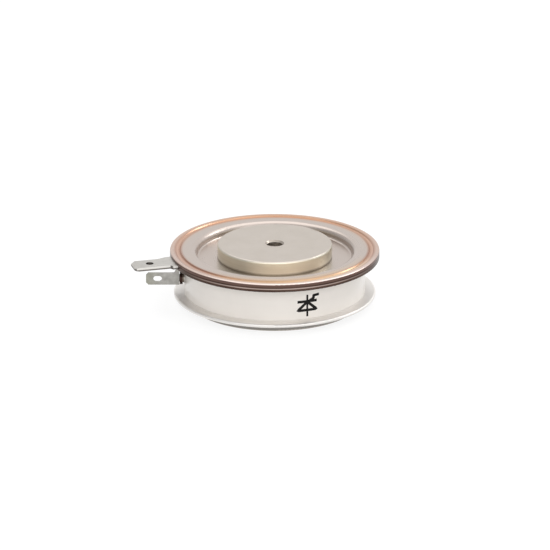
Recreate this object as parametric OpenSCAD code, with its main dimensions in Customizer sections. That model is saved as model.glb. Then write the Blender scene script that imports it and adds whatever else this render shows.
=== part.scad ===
// Disc thyristor: a flat press-pack capsule with two contact poles in a ceramic ring.
// Millimetres. Z points from the anode to the cathode and z = 0 is the anode contact face.
// The gate lead leaves along minus X.

/* [Capsule] */
// Height over both contact faces
capsule_h = 14; // [13:0.1:20]
// Height of the cathode contact face above the rim
cathode_stand = 1.35; // [0.6:0.05:2.5]
// Height of the anode flange above the anode contact face
anode_stand = 2; // [1.4:0.1:3]

/* [Poles] */
// Diameter of the cathode contact face
contact_d = 25.7; // [18:0.1:40]
// Width of the cathode pole's shoulder that carries the lid
pole_step = 0.8; // [0.4:0.1:2]
// Height of the anode pole's head inside the capsule
anode_head_h = 0.6; // [0.4:0.1:1.5]
// How far the foot of the anode pole stays inside the ceramic's outer face
anode_foot_inset = 1.05; // [0:0.05:3]
// Radius of the turned edge round each contact face
contact_edge_r = 0.4; // [0.1:0.05:0.8]
// Diameter of the locating bore in each contact face
locating_bore_d = 3.5; // [2:0.1:5]
// Depth of the locating bores
locating_bore_depth = 2; // [1.2:0.1:2.4]
// Width of the chamfer at the mouth of the locating bores
locating_chamfer = 0.38; // [0.1:0.02:0.8]

/* [Lid and rim] */
// Sheet thickness of the lid
lid_t = 0.7; // [0.4:0.05:0.9]
// Depth of the moat below the rim
moat_depth = 1.85; // [1.6:0.05:2.4]
// Outer radius of the bend from the rim into the moat
lid_bend_r = 1.2; // [0.95:0.05:1.6]
// Radius of the bend at the floor of the moat
moat_fillet_r = 0.5; // [0.1:0.05:0.6]
// Gap between the lid's wall and the ceramic
lid_gap = 0.1; // [0.05:0.05:1]
// Overhang of the rim beyond the ceramic
rim_overhang = 3.25; // [2.8:0.05:6]
// Radius of the rolled edge of the rim
rim_edge_r = 0.3; // [0.1:0.05:0.4]
// Thickness of the weld flange under the lid
weld_flange_t = 1.15; // [1:0.05:1.6]
// Radius of the outer edges of the weld flange
weld_edge_r = 0.15; // [0.05:0.05:0.3]
// Distance from the weld groove to the edge of the rim
weld_land = 1.2; // [0.6:0.1:1.4]
// Width of the cold-weld groove at its mouth
weld_groove_w = 1.2; // [0.6:0.1:1.4]
// Depth of the cold-weld groove
weld_groove_depth = 0.22; // [0.1:0.02:0.3]

/* [Ceramic] */
// Wall of the ceramic ring
ceramic_wall = 2; // [1.5:0.05:4]
// Chamfer on the edges of the ceramic ring
ceramic_chamfer = 0.15; // [0.1:0.05:0.5]
// Overhang of the anode flange beyond the ceramic
anode_overhang = 2.4; // [1:0.1:4]
// Thickness of the anode flange
anode_flange_t = 0.8; // [0.5:0.05:1.5]
// Radius of the outer edges of the anode flange
anode_edge_r = 0.35; // [0.05:0.05:0.35]

/* [Wafer stack] */
// Thickness of the anode molybdenum disc
anode_moly_t = 1; // [0.6:0.05:1.6]
// Thickness of the silicon wafer
wafer_t = 0.4; // [0.25:0.05:0.8]
// Thickness of the cathode molybdenum disc
cathode_moly_t = 0.4; // [0.3:0.05:0.8]
// How far the wafer reaches beyond the poles
wafer_margin = 1.35; // [0.8:0.05:3]
// Width of the rubber ring round the wafer's edge
rubber_w = 1.2; // [0.6:0.1:2]
// Wall of the centring ring
centering_wall = 1.85; // [0.8:0.05:3]

/* [Gate contact] */
// Diameter of the gate cavity in the cathode pole
gate_cavity_d = 5; // [4.6:0.1:7]
// Height of the gate cavity
gate_cavity_h = 4.8; // [4.2:0.1:5.4]
// Wall of the insulating cup
cup_wall = 0.55; // [0.4:0.05:0.7]
// Thickness of the cup's roof
cup_roof_t = 0.6; // [0.4:0.05:1]
// Diameter of the pin's stem
pin_stem_d = 1.4; // [0.8:0.1:1.6]
// Height of the pin's head
pin_head_h = 0.95; // [0.9:0.05:1.4]
// Height of the peg that guides the spring
pin_peg_h = 1.2; // [0.6:0.1:1.6]
// Thickness of the spring washer
spring_washer_t = 0.3; // [0.2:0.05:0.5]
// Wire diameter of the gate spring
spring_wire_d = 0.4; // [0.3:0.02:0.5]
// Target pitch of the gate spring
spring_pitch = 0.62; // [0.55:0.01:0.9]
// Diameter of the gate lead
gate_lead_d = 0.5; // [0.3:0.05:0.6]
// Outside diameter of the lead's sleeve
gate_sleeve_d = 1; // [0.8:0.05:1.1]

/* [Tabs] */
// Diameter of the gate tube
gate_tube_d = 1.6; // [1.3:0.1:2.4]
// Diameter of the neck that seats on the ceramic
gate_neck_d = 2; // [1.7:0.1:2.6]
// Length of the neck
gate_neck_l = 0.45; // [0.2:0.05:1]
// Diameter of the collar between the neck and the flattened end
gate_collar_d = 2.9; // [2.6:0.1:4]
// Thickness of the collar
gate_collar_t = 0.6; // [0.4:0.05:1]
// Length of the tube's flattened end
gate_tongue_l = 2; // [1.2:0.1:3]
// Thickness of the tube's flattened end
gate_tongue_t = 0.5; // [0.3:0.05:0.8]
// Width of the gate tab
gate_tab_w = 2.8; // [2.4:0.1:4.8]
// Length of the gate tab
gate_tab_l = 7.5; // [6:0.1:10]
// Thickness of the gate tab
gate_tab_t = 0.5; // [0.3:0.05:0.8]
// Width of the slot in the gate tab
gate_slot_w = 1.3; // [0.8:0.1:1.6]
// Length of the slot in the gate tab
gate_slot_l = 1.95; // [1.7:0.05:3]
// Distance from the slot's middle to the gate tab's tip
gate_slot_inset = 2.6; // [2:0.1:3.2]
// Height of the step on top of the gate tab's root
gate_root_step = 0.9; // [0.3:0.05:1.5]
// Length of the gate tab's high root
gate_root_l = 0.7; // [0.4:0.05:1.2]
// Chamfer on the corners of the gate tab
gate_tab_chamfer = 0.55; // [0.3:0.05:1.1]
// Width of the cathode tab
cathode_tab_w = 4.8; // [4:0.1:8]
// Thickness of the cathode tab
cathode_tab_t = 0.8; // [0.5:0.05:0.9]
// How far the cathode tab reaches beyond the rim
cathode_tab_reach = 9.5; // [8:0.1:12]
// Angle between the gate tab and the cathode tab
cathode_tab_angle = 15.5; // [10:0.5:60]
// How much wider the cathode tab's root is on each side
cathode_root_step = 0.75; // [0.4:0.05:2]
// Length of the wide root outside the rim
cathode_root_l = 0.9; // [0.5:0.1:2]
// Length of the flare from the tab to its root, on the gate's side
cathode_flare_l = 2.2; // [0.4:0.1:3]
// Length of the shoulder between the tab and its root, on the other side
cathode_shoulder_l = 0.4; // [0.2:0.05:2]
// How far the root is set into the weld flange
cathode_root_lap = 1; // [0.5:0.05:1.2]
// Diameter of the hole in the cathode tab
cathode_hole_d = 1.7; // [1:0.05:2.2]
// Distance from the hole to the cathode tab's tip
cathode_hole_inset = 4; // [2.5:0.1:4.5]
// Chamfer on the cathode tab's corner on the gate's side
cathode_tab_chamfer = 1.1; // [0.3:0.05:1.4]
// Chamfer on the cathode tab's other corner
cathode_small_chamfer = 0.4; // [0.1:0.05:1.4]
// Length of the thinned lead-in at the cathode tab's tip
tab_lead_in = 1; // [0.4:0.1:1.6]
// How much the lead-in takes off each face of the cathode tab
tab_thinning = 0.2; // [0.05:0.01:0.24]

/* [Fits] */
// Radial gap of brazed joints
braze_gap = 0.02; // [0.01:0.01:0.06]
// Gap round loosely placed inner pieces
inner_gap = 0.1; // [0.05:0.01:0.2]
// Gap round the sleeve in the radial slot
slot_gap = 0.05; // [0.03:0.01:0.15]
// Gap round the spring and the pin's head in the cup
spring_gap = 0.15; // [0.08:0.01:0.2]
// Gap between the lip of the rubber ring and the cathode disc
lip_gap = 0.35; // [0.2:0.05:0.6]
// Gap round the cathode tab's root in its seat
tab_gap = 0.05; // [0.02:0.01:0.1]

/* [Hidden] */
$fn = 120;
// Overlap that keeps cuts clear of the faces they open
cut = 0.5;
small_fn = 48;
nickel = [0.79, 0.75, 0.71];
copper = [0.85, 0.68, 0.58];
tinned = [0.68, 0.68, 0.68];
glaze = [0.87, 0.86, 0.83];

// Radii, from the contact faces outwards
contact_r = contact_d / 2;
pole_body_r = contact_r + pole_step;
wafer_r = pole_body_r + wafer_margin;
rubber_r = wafer_r + rubber_w;
centering_in_r = rubber_r + inner_gap;
centering_r = centering_in_r + centering_wall;
ceramic_in_r = centering_r + inner_gap;
ceramic_r = ceramic_in_r + ceramic_wall;
rim_r = ceramic_r + rim_overhang;
anode_flange_r = ceramic_r + anode_overhang;
anode_foot_r = ceramic_r - anode_foot_inset;
lid_wall_r = ceramic_in_r - lid_gap - lid_t;
weld_r = rim_r - weld_land;
tab_root_r = rim_r - cathode_root_lap;

// Levels, from the anode contact face upwards
anode_flange_z = anode_stand;
ceramic_z = anode_flange_z + anode_flange_t;
anode_moly_z = ceramic_z + anode_head_h;
wafer_z = anode_moly_z + anode_moly_t;
cathode_moly_z = wafer_z + wafer_t;
cathode_pole_z = cathode_moly_z + cathode_moly_t;
rim_z = capsule_h - cathode_stand;
lid_z = rim_z - lid_t;
weld_flange_z = lid_z - weld_flange_t;
tab_z = lid_z - cathode_tab_t;
moat_z = rim_z - moat_depth;
lid_seat_z = moat_z - lid_t;
lid_bend = min(lid_bend_r, 0.65 * moat_depth);
moat_fillet = min(moat_fillet_r, moat_depth - lid_bend);

// Gate contact
cup_r = gate_cavity_d / 2 - slot_gap;
cup_in_r = cup_r - cup_wall;
cup_roof_z = cathode_pole_z + gate_cavity_h - slot_gap - cup_roof_t;
pin_head_r = cup_in_r - spring_gap;
pin_head_z = cathode_pole_z + inner_gap;
pin_head_top_z = pin_head_z + pin_head_h;
spring_r = pin_head_r;
spring_coil_r = spring_r - spring_wire_d / 2;
pin_peg_r = spring_r - spring_wire_d - spring_gap;
spring_top_z = cup_roof_z - spring_washer_t;
spring_rise = spring_top_z - pin_head_top_z - spring_wire_d;
spring_turns = floor(spring_rise / spring_pitch);
gate_z = cathode_pole_z + slot_gap + gate_sleeve_d / 2;
gate_slot_h = gate_sleeve_d + 2 * slot_gap;
gate_hole_r = pin_stem_d / 2 + spring_gap;
gate_tube_proud = 0.2;
gate_tube_x = ceramic_in_r - gate_tube_proud;
gate_neck_x = ceramic_r + gate_neck_l;
gate_tongue_x = gate_neck_x + gate_collar_t;
gate_tab_x = gate_tongue_x + inner_gap;

// Rectangle in the profile plane, between two radii and two levels
module band(r_in, r_out, z_low, z_high) {
  translate([r_in, z_low])
    square([r_out - r_in, z_high - z_low]);
}

// Quarter of a ring in the profile plane, on the side that toward points to
module bend(centre, r_in, r_out, toward) {
  translate(centre)
    intersection() {
      difference() {
        circle(r_out, $fn = small_fn);
        circle(r_in, $fn = small_fn);
      }
      translate([min(0, toward.x) * r_out, min(0, toward.y) * r_out])
        square(r_out);
    }
}

// What comes off an outer corner to round it, up is 1 for a top corner and -1 for a bottom one
module corner_waste(corner, r, up) {
  difference() {
    translate([corner.x - r, corner.y - (up > 0 ? r : cut)])
      square(r + cut);
    translate([corner.x - r, corner.y - up * r])
      circle(r, $fn = small_fn);
  }
}

// Flat ring with rounded outer edges
module edged_ring(r_in, r_out, z_low, z_high, top_r, bottom_r) {
  rotate_extrude()
    difference() {
      band(r_in, r_out, z_low, z_high);
      corner_waste([r_out, z_high], top_r, 1);
      corner_waste([r_out, z_low], bottom_r, -1);
    }
}

// Plain ring between two radii and two levels
module ring(r_in, r_out, z_low, z_high) {
  rotate_extrude()
    band(r_in, r_out, z_low, z_high);
}

// Blind bore with a chamfered mouth, cut downwards from z = 0
module locating_bore() {
  bore_r = locating_bore_d / 2;
  translate([0, 0, -locating_bore_depth])
    cylinder(r = bore_r, h = locating_bore_depth + cut);
  translate([0, 0, -locating_chamfer])
    cylinder(r1 = bore_r, r2 = bore_r + locating_chamfer + cut, h = locating_chamfer + cut);
}

// Cylinder along minus X at the gate's height, between two distances from the axis
module gate_rod(from, to, d) {
  translate([-to, 0, gate_z])
    rotate([0, 90, 0])
      cylinder(d = d, h = to - from, $fn = small_fn);
}

// Radial slot for the lead and its sleeve, open towards the wafer
module lead_slot() {
  translate([-ceramic_in_r, -gate_slot_h / 2, cathode_pole_z - cut])
    cube([ceramic_in_r, gate_slot_h, gate_slot_h + cut]);
}

module cathode_pole() {
  color(nickel)
    difference() {
      rotate_extrude()
        difference() {
          union() {
            band(0, pole_body_r, cathode_pole_z, lid_seat_z);
            band(0, contact_r, cathode_pole_z, capsule_h);
          }
          corner_waste([contact_r, capsule_h], contact_edge_r, 1);
        }
      translate([0, 0, capsule_h])
        locating_bore();
      translate([0, 0, cathode_pole_z - cut])
        cylinder(d = gate_cavity_d, h = gate_cavity_h + cut);
      lead_slot();
    }
}

// Turned pole with a wide foot, whose head passes through the anode flange
module anode_pole() {
  color(nickel)
    difference() {
      rotate_extrude()
        difference() {
          union() {
            band(0, anode_foot_r, 0, anode_flange_z);
            band(0, pole_body_r, 0, anode_moly_z);
          }
          corner_waste([anode_foot_r, 0], contact_edge_r, -1);
        }
      mirror([0, 0, 1])
        locating_bore();
    }
}

// Pressed sheet lid: moat floor, two bends, flat annulus, cold-weld groove and rolled edge
module cathode_diaphragm() {
  groove_slope = weld_groove_depth;
  color(nickel)
    rotate_extrude()
      difference() {
        union() {
          band(contact_r + braze_gap, lid_wall_r - moat_fillet, lid_seat_z, moat_z);
          bend([lid_wall_r - moat_fillet, moat_z + moat_fillet], moat_fillet, moat_fillet + lid_t, [1, -1]);
          band(lid_wall_r, lid_wall_r + lid_t, moat_z + moat_fillet, rim_z - lid_bend);
          bend([lid_wall_r + lid_bend, rim_z - lid_bend], lid_bend - lid_t, lid_bend, [-1, 1]);
          band(lid_wall_r + lid_bend, rim_r, lid_z, rim_z);
        }
        corner_waste([rim_r, rim_z], rim_edge_r, 1);
        polygon([
          [weld_r - weld_groove_w - cut, rim_z + cut],
          [weld_r - weld_groove_w, rim_z],
          [weld_r - weld_groove_w + groove_slope, rim_z - weld_groove_depth],
          [weld_r - groove_slope, rim_z - weld_groove_depth],
          [weld_r, rim_z],
          [weld_r + cut, rim_z + cut]
        ]);
      }
}

// Outline of the cathode tab seen from above, along plus X, with its inner end at r_in
module cathode_tab_outline(r_in, gap) {
  tip = rim_r + cathode_tab_reach;
  half_w = cathode_tab_w / 2;
  root_half_w = half_w + cathode_root_step + gap;
  root_end = rim_r + cathode_root_l;
  difference() {
    polygon([
      [0, -root_half_w],
      [root_end, -root_half_w],
      [root_end + cathode_flare_l, -half_w],
      [tip - cathode_tab_chamfer, -half_w],
      [tip, -half_w + cathode_tab_chamfer],
      [tip, half_w - cathode_small_chamfer],
      [tip - cathode_small_chamfer, half_w],
      [root_end + cathode_shoulder_l, half_w],
      [root_end, root_half_w],
      [0, root_half_w]
    ]);
    circle(r_in);
  }
}

// Flat ring under the lid, with a seat for the root of the cathode tab
module weld_flange() {
  color(copper)
    difference() {
      edged_ring(lid_wall_r + lid_bend_r + inner_gap, rim_r, weld_flange_z, lid_z, weld_edge_r, weld_edge_r);
      translate([0, 0, tab_z - tab_gap])
        rotate([0, 0, 180 + cathode_tab_angle])
          linear_extrude(cathode_tab_t + tab_gap + cut)
            cathode_tab_outline(tab_root_r - tab_gap, tab_gap);
    }
}

module ceramic_ring() {
  color(glaze)
    difference() {
      rotate_extrude()
        polygon([
          [ceramic_in_r, ceramic_z],
          [ceramic_r - ceramic_chamfer, ceramic_z],
          [ceramic_r, ceramic_z + ceramic_chamfer],
          [ceramic_r, weld_flange_z - ceramic_chamfer],
          [ceramic_r - ceramic_chamfer, weld_flange_z],
          [ceramic_in_r, weld_flange_z]
        ]);
      gate_rod(ceramic_in_r - cut, ceramic_r + cut, gate_tube_d + 2 * braze_gap);
    }
}

module anode_flange() {
  color(nickel)
    edged_ring(
      pole_body_r + braze_gap, anode_flange_r, anode_flange_z, ceramic_z, anode_edge_r, anode_edge_r
    );
}

// Flat tab set into the weld flange, with a wide root, chamfered corners and a thinned tip
module cathode_tab() {
  tip = rim_r + cathode_tab_reach;
  side = cathode_tab_w + 2 * cathode_root_step;
  color(tinned)
    translate([0, 0, tab_z])
      rotate([0, 0, 180 + cathode_tab_angle])
        difference() {
          intersection() {
            linear_extrude(cathode_tab_t)
              cathode_tab_outline(tab_root_r, 0);
            translate([0, side, 0])
              rotate([90, 0, 0])
                linear_extrude(2 * side)
                  polygon([
                    [tab_root_r - side, 0],
                    [tip - tab_lead_in, 0],
                    [tip, tab_thinning],
                    [tip, cathode_tab_t - tab_thinning],
                    [tip - tab_lead_in, cathode_tab_t],
                    [tab_root_r - side, cathode_tab_t]
                  ]);
          }
          translate([tip - cathode_hole_inset, 0, -cut])
            cylinder(d = cathode_hole_d, h = cathode_tab_t + 2 * cut, $fn = small_fn);
        }
}

// Lead-through whose neck seats on the ceramic, with a collar, a bore for the lead and a flattened end
module gate_tube() {
  color(tinned)
    union() {
      difference() {
        union() {
          gate_rod(gate_tube_x, gate_tongue_x, gate_tube_d);
          gate_rod(gate_neck_x, gate_tongue_x, gate_collar_d);
          difference() {
            gate_rod(ceramic_in_r, gate_tongue_x, gate_neck_d);
            translate([0, 0, gate_z - gate_neck_d])
              cylinder(r = ceramic_r, h = 2 * gate_neck_d);
          }
        }
        gate_rod(gate_tube_x - cut, gate_tongue_x, gate_lead_d + 2 * braze_gap);
      }
      translate([-gate_tongue_x - gate_tongue_l, -gate_tongue_t / 2, gate_z - gate_tube_d / 2])
        cube([gate_tongue_l, gate_tongue_t, gate_tube_d]);
    }
}

// Upright flat tab welded on the face of the flattened tube, with a high root beside the collar
module gate_tab() {
  tip = gate_tab_x + gate_tab_l;
  half_w = gate_tab_w / 2;
  slot_x = tip - gate_slot_inset;
  slot_half = (gate_slot_l - gate_slot_w) / 2;
  color(tinned)
    translate([0, -gate_tongue_t / 2, gate_z])
      rotate([90, 0, 0])
        linear_extrude(gate_tab_t)
          difference() {
            polygon([
              [-gate_tab_x, -half_w],
              [-gate_tab_x, half_w + gate_root_step],
              [-gate_tab_x - gate_root_l, half_w + gate_root_step],
              [-gate_tab_x - gate_root_l - gate_root_step / 2, half_w],
              [-tip + gate_tab_chamfer, half_w],
              [-tip, half_w - gate_tab_chamfer],
              [-tip, -half_w + gate_tab_chamfer],
              [-tip + gate_tab_chamfer, -half_w]
            ]);
            for (side = [-1, 1])
              translate([-slot_x + side * slot_half, 0])
                circle(d = gate_slot_w, $fn = small_fn);
            translate([-slot_x - slot_half, -gate_slot_w / 2])
              square([2 * slot_half, gate_slot_w]);
          }
}

module anode_molybdenum_disc() {
  color([0.55, 0.55, 0.57])
    ring(0, wafer_r, anode_moly_z, wafer_z);
}

// The wafer's edge is bevelled to hold off the voltage
module silicon_wafer() {
  bevel = wafer_t;
  color([0.35, 0.37, 0.42])
    translate([0, 0, wafer_z])
      cylinder(r1 = wafer_r, r2 = wafer_r - bevel, h = wafer_t);
}

module cathode_molybdenum_disc() {
  color([0.58, 0.58, 0.6])
    ring(gate_hole_r, pole_body_r, cathode_moly_z, cathode_pole_z);
}

// Rubber ring with a lip over the wafer's edge
module edge_rubber_ring() {
  color([0.75, 0.3, 0.25])
    rotate_extrude()
      polygon([
        [wafer_r + braze_gap, anode_moly_z],
        [rubber_r, anode_moly_z],
        [rubber_r, cathode_pole_z],
        [pole_body_r + lip_gap, cathode_pole_z],
        [pole_body_r + lip_gap, cathode_moly_z],
        [wafer_r + braze_gap, cathode_moly_z]
      ]);
}

// Plastic ring with a ledge under the molybdenum disc and a wall along the ceramic
module centering_ring() {
  color([0.93, 0.93, 0.9])
    rotate_extrude()
      polygon([
        [pole_body_r + inner_gap, ceramic_z],
        [centering_r, ceramic_z],
        [centering_r, cathode_moly_z],
        [centering_in_r, cathode_moly_z],
        [centering_in_r, anode_moly_z],
        [pole_body_r + inner_gap, anode_moly_z]
      ]);
}

module gate_insulator_cup() {
  color([0.9, 0.88, 0.8])
    difference() {
      translate([0, 0, cathode_pole_z])
        cylinder(r = cup_r, h = gate_cavity_h - slot_gap);
      translate([0, 0, cathode_pole_z - cut])
        cylinder(r = cup_in_r, h = cup_roof_z - cathode_pole_z + cut);
      lead_slot();
    }
}

module gate_spring_washer() {
  color([0.75, 0.75, 0.76])
    ring(pin_peg_r, spring_r, spring_top_z, cup_roof_z);
}

// Contact pin: stem on the wafer, head for the lead and the spring, peg inside the spring
module gate_pin() {
  color([0.8, 0.7, 0.4])
    rotate_extrude()
      polygon([
        [0, cathode_moly_z],
        [pin_stem_d / 2, cathode_moly_z],
        [pin_stem_d / 2, pin_head_z],
        [pin_head_r, pin_head_z],
        [pin_head_r, pin_head_top_z],
        [pin_peg_r, pin_head_top_z],
        [pin_peg_r, pin_head_top_z + pin_peg_h],
        [0, pin_head_top_z + pin_peg_h]
      ]);
}

// Coil spring swept along a helix, from the pin's head to the washer
module gate_spring() {
  sides = 8;
  steps = 18;
  rings = spring_turns * steps;
  low_z = pin_head_top_z + spring_wire_d / 2;
  points = [
    for (i = [0 : rings], s = [0 : sides - 1])
      let (
        turn = 360 * i / steps,
        around = 360 * s / sides,
        r = spring_coil_r + spring_wire_d / 2 * cos(around),
        z = low_z + spring_rise * i / rings + spring_wire_d / 2 * sin(around)
      )
      [r * cos(turn), r * sin(turn), z]
  ];
  skin = [
    for (i = [0 : rings - 1], s = [0 : sides - 1])
      let (next = (s + 1) % sides)
      [i * sides + s, i * sides + next, (i + 1) * sides + next, (i + 1) * sides + s]
  ];
  start_cap = [for (s = [sides - 1 : -1 : 0]) s];
  end_cap = [for (s = [0 : sides - 1]) rings * sides + s];
  color([0.7, 0.7, 0.72])
    polyhedron(points = points, faces = concat(skin, [start_cap, end_cap]));
}

// The lead starts on the head of the pin and ends in the gate tube
module gate_lead() {
  color(copper)
    difference() {
      gate_rod(0, gate_tongue_x, gate_lead_d);
      translate([0, 0, cathode_pole_z])
        cylinder(r = pin_head_r, h = gate_slot_h + cut);
    }
}

module gate_lead_sleeve() {
  color([0.92, 0.92, 0.86])
    difference() {
      gate_rod(cup_in_r, gate_tube_x, gate_sleeve_d);
      gate_rod(0, ceramic_r, gate_lead_d + 2 * braze_gap);
    }
}

cathode_pole();
cathode_diaphragm();
weld_flange();
ceramic_ring();
anode_flange();
anode_pole();
cathode_tab();
gate_tube();
gate_tab();
anode_molybdenum_disc();
silicon_wafer();
cathode_molybdenum_disc();
edge_rubber_ring();
centering_ring();
gate_insulator_cup();
gate_spring();
gate_spring_washer();
gate_pin();
gate_lead();
gate_lead_sleeve();
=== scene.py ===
import math

import bmesh
import bpy
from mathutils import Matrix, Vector


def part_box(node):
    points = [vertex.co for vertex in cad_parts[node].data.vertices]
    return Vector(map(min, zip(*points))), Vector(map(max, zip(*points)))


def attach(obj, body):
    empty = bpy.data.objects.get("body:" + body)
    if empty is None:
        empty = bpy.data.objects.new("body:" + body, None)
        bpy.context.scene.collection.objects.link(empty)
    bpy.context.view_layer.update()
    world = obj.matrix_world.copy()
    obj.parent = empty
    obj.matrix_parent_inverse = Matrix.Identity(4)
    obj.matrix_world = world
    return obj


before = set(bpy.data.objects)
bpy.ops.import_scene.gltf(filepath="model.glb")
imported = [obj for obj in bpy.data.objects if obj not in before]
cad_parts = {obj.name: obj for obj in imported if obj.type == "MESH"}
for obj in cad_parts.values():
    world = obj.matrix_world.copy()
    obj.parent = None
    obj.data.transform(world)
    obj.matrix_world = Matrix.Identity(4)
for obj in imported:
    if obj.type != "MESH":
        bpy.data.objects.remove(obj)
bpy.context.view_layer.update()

# Sizes taken from the frame, in metres
MM = 0.001
lid_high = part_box("cathode_diaphragm")[1]
ceramic_low, ceramic_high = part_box("ceramic_ring")
tube_low, tube_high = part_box("gate_tube")
tab_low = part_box("cathode_tab")[0]
RIM_R = lid_high.x
RIM_Z = lid_high.z
CERAMIC_R = ceramic_high.x
CERAMIC_FOOT = ceramic_low.z
CERAMIC_TOP = ceramic_high.z
GATE_Z = (tube_low.z + tube_high.z) / 2
TAB_Z = tab_low.z

# Camera of the photograph, with its distance in metres
PHOTO_PX = 550
PX_PER_MM = 4.452
RIM_CENTRE_PX = (274.7, 248.8)
CAMERA_ELEVATION = math.radians(20.04)
CAMERA_DISTANCE = 2.0
SENSOR_MM = 36.0

# Half width of the floor in metres, its two paints and its glow
FLOOR_HALF = 1.2
FLOOR_BOUNCE = (0.62, 0.62, 0.62)
FLOOR_SHOWN = (0.2, 0.2, 0.2)
FLOOR_GLOW = 0.82

# Studio as metal shows it: brightness in front, behind and as a share on the left, and between which
# parts of a direction along Y and X it changes; then its light on matt faces
STUDIO_FRONT = 0.66
STUDIO_BACK = 0.93
STUDIO_LEFT = 0.6
STUDIO_ALONG_Y = (-0.6, 0.4)
STUDIO_ALONG_X = (-0.85, -0.3)
STUDIO_FILL = 0.75
WHITE = (1, 1, 1, 1)

# Place and size of each softbox in metres, its power in watts, and the height that all of them face
SOFTBOXES = {
    "top_softbox": ((0.04, 0.2, 0.78), (1.2, 1.0), 3.2),
    "front_softbox": ((0.04, -0.8, 0.45), (1.9, 0.8), 4.8),
    "side_softbox": ((0.68, 0.3, 0.58), (0.25, 0.25), 0.9),
}
LAMP_AIM_Z = 0.006

# Weld groove in the lid's rim, in millimetres of radius
RIM_MM = RIM_R / MM
GROOVE_OUT = RIM_MM - 1.2
GROOVE_IN = RIM_MM - 2.4
GROOVE_MID = (GROOVE_IN + GROOVE_OUT) / 2

# Direction in which the plating gets a painted reflection, brighter and warmer, in degrees from -Y towards
# +X
LIT_SIDE = 16.0

# Depths below the rim's top between which its rolled edge turns brown, in millimetres
EDGE_START = 0.08
EDGE_END = 0.2

# Painted highlight round the side of the rim: its height and half its width, sharp and faded, in
# millimetres
FLANGE_HIGHLIGHT_Z = 11.52
FLANGE_HIGHLIGHT_SHARP = 0.06
FLANGE_HIGHLIGHT_FADED = 0.16

# Locating bores, painted shade in the corner of the lid's moat, and painted shade on the anode pole's foot,
# in millimetres
BORE_WALL_R = 1.75
BORE_MOUTH_R = 2.13
MOAT_Z = 10.8
CORNER_SHADE_START = 0.1
CORNER_SHADE_END = 0.6
FOOT_SHADE_R = 16.0

# Height from which painted light makes the ceramic lighter, in millimetres
TOP_LIGHT_Z = 6.5

# Cathode tab's hole, and the heights of the painted shade below and the painted highlight above on its cut
# sides, in millimetres
TAB_HOLE = (-27.95, -7.75)
TAB_HOLE_R = 0.85
TAB_SHADE_H = 0.28
TAB_HIGHLIGHT_H = 0.4

# Stretch along X over which each tab loses the tint of its tip, in millimetres
CATHODE_TINT = (-33.0, -26.0)
GATE_TINT = (-29.0, -25.5)

# Gate's neck, and the beads at the ceramic's ends and round that neck, in millimetres
NECK_R = 1.0
NECK_L = 0.45
RING_BEAD_R = 0.1
NECK_BEAD_R = 0.12

# Room for a mesh's facets beside a bore, a hole and the end of the neck, in millimetres
BORE_ROOM = 0.04
HOLE_ROOM = 0.02
NECK_ROOM = 0.01

# Printed circuit symbol: its turn from the front, its strokes across and up, and its ink, in millimetres
SYMBOL_TURN = math.radians(21.0)
BAR_Z = 7.05
LEADS = [[(0.0, 3.5), (0.0, 8.6)]]
STROKES = [
    [(-2.3, BAR_Z), (2.3, BAR_Z)],
    [(0.0, BAR_Z - 0.1), (-2.25, 5.0), (2.25, 5.0), (0.0, BAR_Z - 0.1)],
    [(0.5, BAR_Z + 0.1), (1.5, 7.65), (1.5, 8.25), (2.85, 8.4)],
]
STROKE_W = 0.64
LEAD_W = 0.46
INK_T = 0.03

# Points round a ring, round the gate's neck, round a bead's section and along a stroke
RING_POINTS = 240
NECK_POINTS = 64
SECTION_POINTS = 12
STROKE_POINTS = 40

# Part of a normal round the axis that counts as an error on a turned face
TURNED_LIMIT = 0.6

# Range that a noise covers, and the part of it between two tones
NOISE_RANGE = (0.2, 0.8)
TONE_RANGE = (0.3, 0.7)


# Small tools for node trees
def put(tree, socket, value):
    if isinstance(value, bpy.types.NodeSocket):
        tree.links.new(value, socket)
    else:
        socket.default_value = value


def add(tree, kind, inputs=(), **settings):
    """New node, with its settings and with its inputs linked or set."""
    family = "" if kind.startswith("GeometryNode") else "ShaderNode"
    made = tree.nodes.new(family + kind)
    for key, value in settings.items():
        setattr(made, key, value)
    for key, value in dict(inputs).items():
        put(tree, made.inputs[key], value)
    return made


def calc(tree, operation, first, second=0.0):
    return add(tree, "Math", {0: first, 1: second}, operation=operation).outputs[0]


def vector(tree, operation, first, second=(0.0, 0.0, 0.0)):
    return add(tree, "VectorMath", {0: first, 1: second}, operation=operation).outputs[0]


def length(tree, first):
    return add(tree, "VectorMath", {0: first}, operation="LENGTH").outputs["Value"]


def dot(tree, first, second):
    return add(tree, "VectorMath", {0: first, 1: second}, operation="DOT_PRODUCT").outputs["Value"]


def scaled(tree, first, factor):
    return add(tree, "VectorMath", {0: first, "Scale": factor}, operation="SCALE").outputs[0]


def noise(tree, point, per_mm=1.0, detail=3.0, roughness=0.6):
    inputs = {"Vector": point, "Scale": per_mm, "Detail": detail, "Roughness": roughness}
    return add(tree, "TexNoise", inputs).outputs["Fac"]


def ramp(tree, factor, stops):
    made = add(tree, "ValToRGB", {"Fac": factor})
    band = made.color_ramp
    while len(band.elements) < len(stops):
        band.elements.new(1.0)
    for element, (place, colour) in zip(band.elements, stops):
        element.position = place
        element.color = (*colour, 1.0)
    return made.outputs["Color"]


def ramp_mm(tree, distance, stops):
    """Colours along a distance, each at its place in millimetres."""
    first, last = stops[0][0], stops[-1][0]
    places = [((place - first) / (last - first), colour) for place, colour in stops]
    return ramp(tree, spread(tree, distance, first, last), places)


def spread(tree, value, low, high, to_low=0.0, to_high=1.0):
    inputs = {"Value": value, "From Min": low, "From Max": high, "To Min": to_low, "To Max": to_high}
    return add(tree, "MapRange", inputs).outputs["Result"]


def mix(tree, factor, first, second):
    made = add(tree, "Mix", data_type="RGBA")
    for place, value in ((0, factor), (6, first), (7, second)):
        put(tree, made.inputs[place], (*value, 1.0) if isinstance(value, tuple) else value)
    return made.outputs[2]


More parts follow.
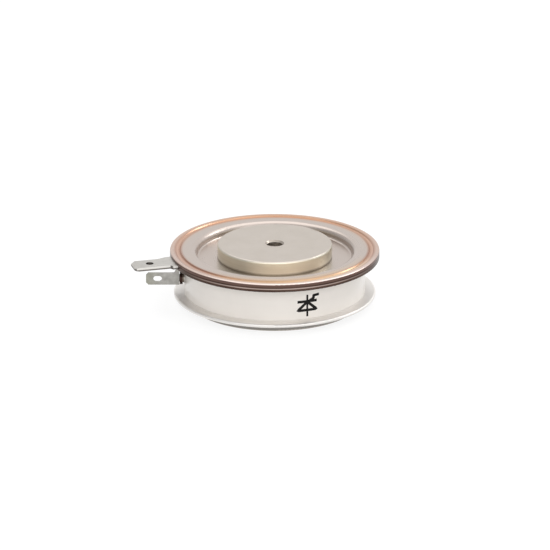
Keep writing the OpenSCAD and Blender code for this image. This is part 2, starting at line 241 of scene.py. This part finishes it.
def bump(tree, height, depth, under=None):
    inputs = {"Height": height, "Distance": depth, "Strength": 1.0}
    if under is not None:
        inputs["Normal"] = under
    return add(tree, "Bump", inputs).outputs["Normal"]


def srgb(red, green, blue):
    parts = [v / 255.0 for v in (red, green, blue)]
    return tuple(p / 12.92 if p < 0.04045 else ((p + 0.055) / 1.055) ** 2.4 for p in parts)


class Finish:
    """A material with its tree, its shader and the point in millimetres."""

    def __init__(self, name):
        self.material = bpy.data.materials.new(name)
        self.material.use_nodes = True
        self.tree = tree = self.material.node_tree
        self.shader = tree.nodes["Principled BSDF"]
        self.point = scaled(tree, add(tree, "TexCoord").outputs["Object"], 1.0 / MM)
        self.x, self.y, self.z = add(tree, "SeparateXYZ", {0: self.point}).outputs
        self.flat = add(tree, "CombineXYZ", {0: self.x, 1: self.y}).outputs[0]
        self.radius = length(tree, self.flat)
        self.outward = vector(tree, "NORMALIZE", self.flat)
        self.turn = calc(tree, "ARCTAN2", self.y, self.x)
        self.normal = add(tree, "NewGeometry").outputs["Normal"]
        self.rise = add(tree, "SeparateXYZ", {0: self.normal}).outputs[2]

    def lathe(self, per_mm, around=0.5):
        """Point whose noise runs in rings round the axis, as tool marks do."""
        tree = self.tree
        rings = calc(tree, "MULTIPLY", self.radius, per_mm)
        levels = calc(tree, "MULTIPLY", self.z, per_mm)
        arc = calc(tree, "MULTIPLY", self.turn, around)
        return add(tree, "CombineXYZ", {0: rings, 1: levels, 2: arc}).outputs[0]

    def facing(self, degrees, narrow, wide):
        """Share of a side, in degrees from -Y towards +X: 1 up to the narrow angle, 0 past the wide one."""
        tree = self.tree
        angle = math.radians(degrees)
        side = (math.sin(angle), -math.cos(angle), 0.0)
        none, full = math.cos(math.radians(wide)), math.cos(math.radians(narrow))
        return spread(tree, dot(tree, self.outward, side), none, full)

    def turned(self):
        """Normal of a turned face: its small part round the axis is taken out."""
        tree = self.tree
        apart = add(tree, "SeparateXYZ", {0: self.outward}).outputs
        back = calc(tree, "MULTIPLY", apart[1], -1.0)
        round_axis = add(tree, "CombineXYZ", {0: back, 1: apart[0]}).outputs[0]
        part = dot(tree, self.normal, round_axis)
        small = calc(tree, "LESS_THAN", calc(tree, "ABSOLUTE", part), TURNED_LIMIT)
        error = scaled(tree, round_axis, calc(tree, "MULTIPLY", part, small))
        return vector(tree, "NORMALIZE", vector(tree, "SUBTRACT", self.normal, error))

    def tones(self, pattern, dark, light):
        """Two tones that a pattern mixes."""
        return ramp(self.tree, pattern, list(zip(TONE_RANGE, (srgb(*dark), srgb(*light)))))

    def sheen(self, pattern, smooth, rough):
        """Roughness that a pattern varies."""
        self.set(roughness=spread(self.tree, pattern, *NOISE_RANGE, smooth, rough))

    def relief(self, pattern, depth, under=None):
        """Normal with a pattern's relief, its depth in millimetres."""
        return bump(self.tree, pattern, depth * MM, under)

    def set(self, **sockets):
        """Shader's sockets, by their names in small letters, linked or set."""
        for key, value in sockets.items():
            name = key.replace("_", " ").title().replace("Ior", "IOR")
            value = (*value, 1.0) if isinstance(value, tuple) else value
            put(self.tree, self.shader.inputs[name], value)


# Finishes
def satin_nickel():
    """Turned contact pole: grey satin face, darker bore, golden side tones that are painted reflection,
    brighter and warmer in front; painted shade in the moat's corner and on the anode foot.
    """
    f = Finish("satin_nickel")
    tree = f.tree
    marks = noise(tree, f.lathe(9.0))
    cloud = noise(tree, f.point, 0.22, detail=4.0, roughness=0.55)
    grit = noise(tree, f.point, 18.0, detail=2.0)
    face = f.tones(cloud, (196, 187, 177), (202, 193, 184))
    # The side's golden tones are painted reflection; in front they are brighter and warmer, a painted
    # reflection of the front light.
    cool = f.tones(marks, (215, 213, 196), (224, 222, 206))
    front_lit = f.tones(marks, (248, 240, 217), (254, 247, 227))
    wall = mix(tree, f.facing(LIT_SIDE, narrow=14.0, wide=48.0), cool, front_lit)
    # Painted shade where the pole's side meets the lid's moat.
    corner = spread(tree, f.z, MOAT_Z + CORNER_SHADE_START, MOAT_Z + CORNER_SHADE_END, 0.85, 0.0)
    wall = mix(tree, corner, wall, srgb(128, 117, 100))
    # Painted shade on the anode pole's foot under the flange.
    wall = mix(tree, calc(tree, "GREATER_THAN", f.radius, FOOT_SHADE_R), wall, srgb(136, 132, 127))
    level = spread(tree, calc(tree, "ABSOLUTE", f.rise), 0.2, 0.9)
    chamfer = calc(tree, "GREATER_THAN", f.radius, BORE_WALL_R + BORE_ROOM)
    bore = mix(tree, chamfer, srgb(180, 173, 165), srgb(178, 169, 159))
    inside = calc(tree, "LESS_THAN", f.radius, BORE_MOUTH_R)
    f.set(base_color=mix(tree, inside, mix(tree, level, wall, face), bore), metallic=1.0)
    f.sheen(marks, 0.28, 0.40)
    f.set(normal=f.relief(grit, 0.004, f.relief(marks, 0.006, f.turned())))
    return f.material


def plated_lid():
    """Pressed lid: silver plating worn to copper in the weld groove, browned edge, and painted reflection
    that is brighter and warmer in front and coppery at the back.
    """
    f = Finish("plated_lid")
    tree = f.tree
    sway = noise(tree, f.lathe(0.15, 1.6))
    place = calc(tree, "ADD", f.radius, spread(tree, sway, *NOISE_RANGE, -0.08, 0.08))
    silver = srgb(197, 185, 177)
    cool = ramp_mm(tree, place, [
        (GROOVE_IN - 0.5, silver),
        (GROOVE_IN + 0.1, srgb(166, 122, 101)),
        (GROOVE_MID + 0.2, srgb(208, 172, 153)),
        (GROOVE_OUT + 0.05, srgb(186, 152, 136)),
        (GROOVE_OUT + 0.5, srgb(207, 185, 174)),
    ])
    # Brighter and warmer tones in front: painted reflection of the front light on the groove.
    front_lit = ramp_mm(tree, place, [
        (GROOVE_IN - 2.0, silver),
        (GROOVE_IN - 0.9, srgb(211, 188, 166)),
        (GROOVE_IN + 0.1, srgb(200, 164, 132)),
        (GROOVE_MID + 0.2, srgb(252, 236, 206)),
        (GROOVE_OUT + 0.05, srgb(206, 174, 144)),
        (GROOVE_OUT + 0.5, srgb(228, 208, 196)),
        (RIM_MM, srgb(244, 228, 222)),
    ])
    bands = mix(tree, f.facing(LIT_SIDE, narrow=18.0, wide=62.0), cool, front_lit)
    # Coppery tone at the back of the rim: painted reflection.
    outer = spread(tree, f.radius, GROOVE_IN - 1.2, GROOVE_IN)
    back = calc(tree, "MULTIPLY", f.facing(180.0, narrow=20.0, wide=100.0), outer)
    bands = mix(tree, calc(tree, "MULTIPLY", back, 0.6), bands, srgb(212, 166, 130))
    bend = spread(tree, f.z, RIM_Z / MM - EDGE_END, RIM_Z / MM - EDGE_START, 1.0, 0.0)
    bend = calc(tree, "MULTIPLY", bend, calc(tree, "GREATER_THAN", f.radius, GROOVE_OUT + 0.6))
    marks = noise(tree, f.lathe(5.0))
    grit = noise(tree, f.point, 14.0, detail=2.0)
    f.set(base_color=mix(tree, bend, bands, srgb(104, 82, 75)), metallic=1.0)
    f.sheen(marks, 0.24, 0.36)
    f.set(normal=f.relief(grit, 0.004, f.relief(marks, 0.008, f.turned())))
    return f.material


def browned_copper():
    """Weld flange: dark brown oxide on copper, with a painted highlight along the middle of its side in
    front.
    """
    f = Finish("browned_copper")
    tree = f.tree
    stain = noise(tree, f.lathe(0.6, 2.5), detail=4.0)
    grit = noise(tree, f.point, 12.0, detail=2.0)
    dark = f.tones(stain, (67, 52, 45), (92, 74, 66))
    # Painted highlight along the middle of the flange's side, strongest in front.
    side_highlight = f.tones(stain, (170, 150, 142), (196, 176, 168))
    away = calc(tree, "ABSOLUTE", calc(tree, "SUBTRACT", f.z, FLANGE_HIGHLIGHT_Z))
    line = spread(tree, away, FLANGE_HIGHLIGHT_SHARP, FLANGE_HIGHLIGHT_FADED, 1.0, 0.0)
    line = calc(tree, "MULTIPLY", line, f.facing(4.0, narrow=14.0, wide=62.0))
    f.set(base_color=mix(tree, line, dark, side_highlight), metallic=1.0)
    f.sheen(stain, 0.24, 0.38)
    f.set(normal=f.relief(grit, 0.006, f.turned()))
    return f.material


def white_glaze():
    """Ceramic: faintly cloudy white glaze, lighter towards the top with painted light."""
    f = Finish("white_glaze")
    tree = f.tree
    cloud = noise(tree, f.point, 0.12, roughness=0.5)
    peel = noise(tree, f.point, 1.6, detail=2.0, roughness=0.5)
    body = f.tones(cloud, (228, 222, 215), (234, 228, 221))
    # Painted light, lighter towards the top under the rim.
    top_light = spread(tree, f.z, TOP_LIGHT_Z, CERAMIC_TOP / MM, 0.0, 0.9)
    f.set(base_color=mix(tree, top_light, body, srgb(250, 244, 237)))
    f.sheen(cloud, 0.28, 0.36)
    f.set(coat_weight=0.6, coat_roughness=0.12)
    f.set(normal=f.relief(peel, 0.006, f.turned()))
    return f.material


def flange_plate():
    """Anode flange: bright rolled sheet with a darker cut edge."""
    f = Finish("flange_plate")
    tree = f.tree
    marks = noise(tree, f.lathe(5.0))
    cloud = noise(tree, f.point, 0.2, roughness=0.5)
    sheet = f.tones(cloud, (238, 235, 231), (244, 241, 238))
    level = spread(tree, f.rise, 0.1, 0.4)
    f.set(base_color=mix(tree, level, srgb(234, 231, 227), sheet), metallic=1.0)
    f.sheen(marks, 0.44, 0.54)
    f.set(normal=f.relief(marks, 0.001, f.turned()))
    return f.material


def rippled_tin(name, dark, light, tip_tint, tint_stretch):
    """Dull tin with small ripples, its colour tinted towards the tip, and a mask of the end face for
    painted shade.
    """
    f = Finish(name)
    tree = f.tree
    flow = noise(tree, f.point, 0.9, detail=4.0)
    grit = noise(tree, f.point, 10.0)
    tint = spread(tree, f.x, *tint_stretch, 0.7, 0.0)
    tinned = mix(tree, tint, f.tones(flow, dark, light), srgb(*tip_tint))
    # Painted shade on the end face that looks towards -X.
    end = spread(tree, dot(tree, f.normal, (1.0, 0.0, 0.0)), -0.45, -0.3, 0.85, 0.0)
    f.set(metallic=1.0)
    f.sheen(grit, 0.34, 0.48)
    f.set(normal=f.relief(grit, 0.01, f.relief(flow, 0.03)))
    return f, tinned, end


def tinned_sheet():
    """Cathode tab: its cut sides have a painted highlight above and painted shade below; its hole and end
    face get painted shade.
    """
    tones = (186, 183, 178), (200, 197, 192), (180, 177, 172)
    f, tinned, end = rippled_tin("tinned_sheet", *tones, CATHODE_TINT)
    tree = f.tree
    # Cut sides: painted shade along the bottom, rising to a painted highlight above.
    low, low_shade = TAB_Z / MM, srgb(118, 112, 107)
    cut = ramp_mm(tree, f.z, [(low, low_shade), (low + TAB_SHADE_H, low_shade), (low + TAB_HIGHLIGHT_H, srgb(232, 229, 224))])
    side = calc(tree, "LESS_THAN", calc(tree, "ABSOLUTE", f.rise), 0.5)
    # Painted shade in the hole and on the end face.
    away = length(tree, vector(tree, "SUBTRACT", f.flat, (*TAB_HOLE, 0.0)))
    dark = calc(tree, "MAXIMUM", end, calc(tree, "LESS_THAN", away, TAB_HOLE_R + HOLE_ROOM))
    f.set(base_color=mix(tree, dark, mix(tree, side, tinned, cut), srgb(90, 85, 81)))
    return f.material


def worn_tinned_sheet():
    """Gate tab: greyer tin, a little green at the tip, with painted shade on its end face."""
    tones = (156, 154, 149), (186, 184, 179), (150, 150, 134)
    f, tinned, end = rippled_tin("worn_tinned_sheet", *tones, GATE_TINT)
    # Painted shade on the end face.
    f.set(base_color=mix(f.tree, end, tinned, srgb(92, 87, 82)))
    return f.material


def gate_metal():
    """Gate tube: paler neck on the ceramic, and painted shade on the collar and tongue outside it."""
    f = Finish("gate_metal")
    tree = f.tree
    grit = noise(tree, f.point, 6.0)
    # Painted shade on the collar and tongue outside the ceramic.
    collar = f.tones(grit, (62, 46, 42), (80, 62, 56))
    neck = f.tones(grit, (140, 129, 118), (158, 147, 136))
    seat = calc(tree, "GREATER_THAN", f.x, -CERAMIC_R / MM - NECK_L + NECK_ROOM)
    f.set(base_color=mix(tree, seat, collar, neck), metallic=1.0)
    f.sheen(grit, 0.36, 0.48)
    f.set(normal=f.relief(grit, 0.008))
    return f.material


def plain_finish(name, dark, light, metallic, rough, grain, **more):
    """A finish of two close tones, with grain at the given number per millimetre."""
    f = Finish(name)
    grit = noise(f.tree, f.point, grain)
    f.set(base_color=f.tones(grit, dark, light), metallic=metallic)
    f.sheen(grit, rough - 0.06, rough + 0.06)
    f.set(normal=f.relief(grit, 0.008), **more)
    return f.material


def dress(material, *nodes):
    for name in nodes:
        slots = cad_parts[name].data.materials
        slots.clear()
        slots.append(material)


# Pieces made by node trees
def size_tree(name, sizes):
    """Geometry Nodes tree with a named input for each size, and its group's input and output."""
    tree = bpy.data.node_groups.new(name, "GeometryNodeTree")
    tree.interface.new_socket("Geometry", in_out="INPUT", socket_type="NodeSocketGeometry")
    for size in sizes:
        tree.interface.new_socket(size, in_out="INPUT", socket_type="NodeSocketFloat")
    tree.interface.new_socket("Geometry", in_out="OUTPUT", socket_type="NodeSocketGeometry")
    return tree, tree.nodes.new("NodeGroupInput").outputs, tree.nodes.new("NodeGroupOutput").inputs


def close_tree(tree, shape, material, end):
    """Last nodes of every tree: real faces, smooth shading and the material."""
    real = add(tree, "GeometryNodeRealizeInstances", {0: shape}).outputs[0]
    smooth = add(tree, "GeometryNodeSetShadeSmooth", {"Geometry": real}).outputs[0]
    done = add(tree, "GeometryNodeSetMaterial", {"Geometry": smooth, "Material": material})
    put(tree, end["Geometry"], done.outputs[0])


def round_section(tree, radius):
    """Circle that a bead or a stroke is swept from."""
    inputs = {"Resolution": SECTION_POINTS, "Radius": radius}
    return add(tree, "GeometryNodeCurvePrimitiveCircle", inputs).outputs[0]


def bead_tree(material):
    """Bead of braze or glaze round a circle, seated in the corner between two faces."""
    tree, size, end = size_tree("bead_tree", ["Ring radius", "Height", "Bead radius"])
    inputs = {"Resolution": RING_POINTS, "Radius": size["Ring radius"]}
    path = add(tree, "GeometryNodeCurvePrimitiveCircle", inputs)
    section = round_section(tree, size["Bead radius"])
    bead = add(tree, "GeometryNodeCurveToMesh", {0: path.outputs[0], 1: section}).outputs[0]
    up = add(tree, "CombineXYZ", {2: size["Height"]}).outputs[0]
    seated = add(tree, "GeometryNodeSetPosition", {0: bead, "Offset": up}).outputs[0]
    close_tree(tree, seated, material, end)
    return tree


def saddle_bead_tree(material):
    """Bead round the gate's neck, which follows the curved face of the ceramic."""
    sizes = ["Neck radius", "Height", "Ceramic radius", "Bead radius"]
    tree, size, end = size_tree("saddle_bead_tree", sizes)
    inputs = {"Resolution": NECK_POINTS, "Radius": size["Neck radius"]}
    path = add(tree, "GeometryNodeCurvePrimitiveCircle", inputs)
    place = add(tree, "SeparateXYZ", {0: add(tree, "GeometryNodeInputPosition").outputs[0]}).outputs
    across, up = place[0], calc(tree, "ADD", place[1], size["Height"])
    whole, aside = (calc(tree, "POWER", side, 2.0) for side in (size["Ceramic radius"], across))
    out = calc(tree, "MULTIPLY", calc(tree, "SQRT", calc(tree, "SUBTRACT", whole, aside)), -1.0)
    seat = add(tree, "CombineXYZ", {0: out, 1: across, 2: up}).outputs[0]
    path = add(tree, "GeometryNodeSetPosition", {0: path.outputs[0], "Position": seat}).outputs[0]
    section = round_section(tree, size["Bead radius"])
    bead = add(tree, "GeometryNodeCurveToMesh", {0: path, 1: section}).outputs[0]
    close_tree(tree, bead, material, end)
    return tree


def ink_tree(material):
    """Flat strokes of ink, laid round the ceramic from lines drawn across and up."""
    sizes = ["Stroke width", "Ink thickness", "Ceramic radius", "Turn"]
    tree, size, end = size_tree("ink_tree", sizes)
    start = tree.nodes["Group Input"].outputs["Geometry"]
    lines = add(tree, "GeometryNodeMeshToCurve", {0: start}).outputs[0]
    lines = add(tree, "GeometryNodeResampleCurve", {0: lines, "Count": STROKE_POINTS}).outputs[0]
    half = calc(tree, "MULTIPLY", size["Stroke width"], 0.5)
    section = round_section(tree, half)
    inputs = {0: lines, 1: section, "Fill Caps": True}
    tube = add(tree, "GeometryNodeCurveToMesh", inputs).outputs[0]
    place = add(tree, "SeparateXYZ", {0: add(tree, "GeometryNodeInputPosition").outputs[0]}).outputs
    angle = calc(tree, "ADD", calc(tree, "DIVIDE", place[0], size["Ceramic radius"]), size["Turn"])
    flat = calc(tree, "DIVIDE", size["Ink thickness"], size["Stroke width"])
    out = calc(tree, "SUBTRACT", size["Ceramic radius"], calc(tree, "MULTIPLY", place[1], flat))
    east = calc(tree, "MULTIPLY", out, calc(tree, "SINE", angle))
    south = calc(tree, "MULTIPLY", out, calc(tree, "MULTIPLY", calc(tree, "COSINE", angle), -1.0))
    laid = add(tree, "CombineXYZ", {0: east, 1: south, 2: place[2]}).outputs[0]
    ink = add(tree, "GeometryNodeSetPosition", {0: tube, "Position": laid}).outputs[0]
    close_tree(tree, ink, material, end)
    return tree


def grow(name, tree, sizes, start=None):
    """Piece made by a tree from a start mesh, turned into a plain mesh that rides on the body."""
    draft = bpy.data.objects.new(name + "_draft", start or bpy.data.meshes.new(name + "_draft"))
    bpy.context.scene.collection.objects.link(draft)
    shape = draft.modifiers.new("shape", "NODES")
    shape.node_group = tree
    for item in tree.interface.items_tree:
        if item.name in sizes:
            shape[item.identifier] = sizes[item.name]
    made = draft.evaluated_get(bpy.context.evaluated_depsgraph_get())
    mesh = bpy.data.meshes.new_from_object(made)
    mesh.name = name
    bpy.data.objects.remove(draft)
    shell = bmesh.new()
    shell.from_mesh(mesh)
    bmesh.ops.recalc_face_normals(shell, faces=shell.faces)
    shell.to_mesh(mesh)
    shell.free()
    piece = bpy.data.objects.new(name, mesh)
    bpy.context.scene.collection.objects.link(piece)
    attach(piece, "root")
    return piece


def stroke_lines(strokes):
    """Lines of the symbol in metres: across along X, up along Z."""
    points, edges = [], []
    for stroke in strokes:
        first = len(points)
        points += [(across * MM, 0.0, up * MM) for across, up in stroke]
        edges += [(first + i, first + i + 1) for i in range(len(stroke) - 1)]
    mesh = bpy.data.meshes.new("stroke_lines")
    mesh.from_pydata(points, edges, [])
    return mesh


# Stage: camera, floor and light
def photo_camera():
    data = bpy.data.cameras.new("photo_camera")
    camera = bpy.data.objects.new("photo_camera", data)
    bpy.context.scene.collection.objects.link(camera)
    view_width = PHOTO_PX / PX_PER_MM * MM
    data.sensor_width = SENSOR_MM
    data.lens = SENSOR_MM * CAMERA_DISTANCE / view_width
    data.clip_end = 5 * CAMERA_DISTANCE
    middle = PHOTO_PX / 2
    across = (middle - RIM_CENTRE_PX[0]) / PX_PER_MM * MM
    below = (middle - RIM_CENTRE_PX[1]) / PX_PER_MM * MM / math.cos(CAMERA_ELEVATION)
    aim = Vector((across, 0, RIM_Z - below))
    back = Vector((0, -math.cos(CAMERA_ELEVATION), math.sin(CAMERA_ELEVATION)))
    camera.location = aim + CAMERA_DISTANCE * back
    camera.rotation_mode = "QUATERNION"
    camera.rotation_quaternion = (-back).to_track_quat("-Z", "Y")
    bpy.context.scene.camera = camera


def seen_directly(tree):
    """1 for rays that show the surface itself: camera, glossy and transmission rays."""
    rays = add(tree, "LightPath").outputs
    shown = calc(tree, "MAXIMUM", rays["Is Camera Ray"], rays["Is Glossy Ray"])
    return calc(tree, "MAXIMUM", shown, rays["Is Transmission Ray"])


def pale_floor():
    """White floor with a faint shadow, clear from below."""
    mesh = bpy.data.meshes.new("pale_floor")
    corners = [(x * FLOOR_HALF, y * FLOOR_HALF, 0) for x, y in ((-1, -1), (1, -1), (1, 1), (-1, 1))]
    mesh.from_pydata(corners, [], [(0, 1, 2, 3)])
    floor = bpy.data.objects.new("pale_floor", mesh)
    bpy.context.scene.collection.objects.link(floor)
    material = bpy.data.materials.new("pale_floor")
    material.use_nodes = True
    tree = material.node_tree
    tree.nodes.clear()
    shown = seen_directly(tree)
    paint = add(tree, "BsdfDiffuse", {"Color": mix(tree, shown, FLOOR_BOUNCE, FLOOR_SHOWN)})
    strength = calc(tree, "MULTIPLY", shown, FLOOR_GLOW)
    glow = add(tree, "Emission", {"Color": WHITE, "Strength": strength})
    both = add(tree, "AddShader", {0: paint.outputs[0], 1: glow.outputs[0]})
    clear = add(tree, "BsdfTransparent")
    under = add(tree, "NewGeometry").outputs["Backfacing"]
    sides = add(tree, "MixShader", {0: under, 1: both.outputs[0], 2: clear.outputs[0]})
    add(tree, "OutputMaterial", {"Surface": sides.outputs[0]})
    mesh.materials.append(material)


def studio_world():
    """Pale studio, dimmer in front than behind and darker to the left."""
    world = bpy.data.worlds.new("studio_world")
    bpy.context.scene.world = world
    world.use_nodes = True
    tree = world.node_tree
    tree.nodes.clear()
    toward = add(tree, "SeparateXYZ", {0: add(tree, "TexCoord").outputs["Generated"]}).outputs
    depth = spread(tree, toward[1], *STUDIO_ALONG_Y, STUDIO_FRONT, STUDIO_BACK)
    bright = calc(tree, "MULTIPLY", depth, spread(tree, toward[0], *STUDIO_ALONG_X, STUDIO_LEFT, 1.0))
    rays = add(tree, "LightPath").outputs
    mirrored = calc(tree, "MAXIMUM", rays["Is Glossy Ray"], rays["Is Transmission Ray"])
    shown = calc(tree, "MAXIMUM", calc(tree, "MULTIPLY", mirrored, bright), rays["Is Camera Ray"])
    filled = calc(tree, "MULTIPLY", STUDIO_FILL, calc(tree, "SUBTRACT", 1.0, seen_directly(tree)))
    strength = calc(tree, "MAXIMUM", shown, filled)
    back = add(tree, "Background", {"Color": WHITE, "Strength": strength})
    add(tree, "OutputWorld", {"Surface": back.outputs[0]})


def softbox(name, place, size, power):
    data = bpy.data.lights.new(name, "AREA")
    data.shape = "RECTANGLE"
    data.size, data.size_y = size
    data.energy = power
    lamp = bpy.data.objects.new(name, data)
    bpy.context.scene.collection.objects.link(lamp)
    lamp.location = place
    lamp.rotation_mode = "QUATERNION"
    lamp.rotation_quaternion = (Vector((0, 0, LAMP_AIM_Z)) - lamp.location).to_track_quat("-Z", "Y")


photo_camera()
pale_floor()
studio_world()
for name, (place, size, power) in SOFTBOXES.items():
    softbox(name, place, size, power)
bpy.context.scene.view_settings.view_transform = "Standard"

dress(satin_nickel(), "cathode_pole", "anode_pole")
dress(plated_lid(), "cathode_diaphragm")
dress(browned_copper(), "weld_flange")
glaze = white_glaze()
dress(glaze, "ceramic_ring")
dress(flange_plate(), "anode_flange")
dress(tinned_sheet(), "cathode_tab")
dress(worn_tinned_sheet(), "gate_tab")
dress(gate_metal(), "gate_tube")
dress(plain_finish("lapped_molybdenum", (140, 140, 144), (156, 156, 160), 1.0, 0.38, 8.0),
      "anode_molybdenum_disc", "cathode_molybdenum_disc")
dress(plain_finish("polished_silicon", (72, 76, 88), (88, 92, 104), 0.6, 0.16, 3.0), "silicon_wafer")
dress(plain_finish("red_rubber", (150, 58, 46), (168, 70, 56), 0.0, 0.6, 9.0), "edge_rubber_ring")
dress(plain_finish("white_fluoropolymer", (226, 225, 220), (236, 235, 231), 0.0, 0.45, 5.0),
      "centering_ring", "gate_insulator_cup", "gate_lead_sleeve")
dress(plain_finish("spring_steel", (168, 168, 172), (184, 184, 188), 1.0, 0.28, 7.0),
      "gate_spring", "gate_spring_washer")
dress(plain_finish("plated_contact", (206, 172, 96), (220, 188, 112), 1.0, 0.26, 7.0),
      "gate_pin", "gate_lead")

silver_braze = plain_finish("silver_braze", (228, 225, 219), (238, 235, 230), 1.0, 0.3, 4.0)
black_ink = plain_finish("black_ink", (16, 14, 13), (28, 26, 24), 0.0, 0.6, 3.0, specular_ior_level=0.15)
grow("foot_glaze", bead_tree(glaze),
     {"Ring radius": CERAMIC_R, "Height": CERAMIC_FOOT, "Bead radius": RING_BEAD_R * MM})
grow("top_braze", bead_tree(silver_braze),
     {"Ring radius": CERAMIC_R, "Height": CERAMIC_TOP, "Bead radius": RING_BEAD_R * MM})
grow("gate_braze", saddle_bead_tree(silver_braze),
     {"Neck radius": NECK_R * MM, "Height": GATE_Z, "Ceramic radius": CERAMIC_R,
      "Bead radius": NECK_BEAD_R * MM})
ink_strokes = ink_tree(black_ink)
for name, strokes, width in (("circuit_symbol", STROKES, STROKE_W), ("symbol_lead", LEADS, LEAD_W)):
    grow(name, ink_strokes,
         {"Stroke width": width * MM, "Ink thickness": INK_T * MM, "Ceramic radius": CERAMIC_R,
          "Turn": SYMBOL_TURN}, stroke_lines(strokes))
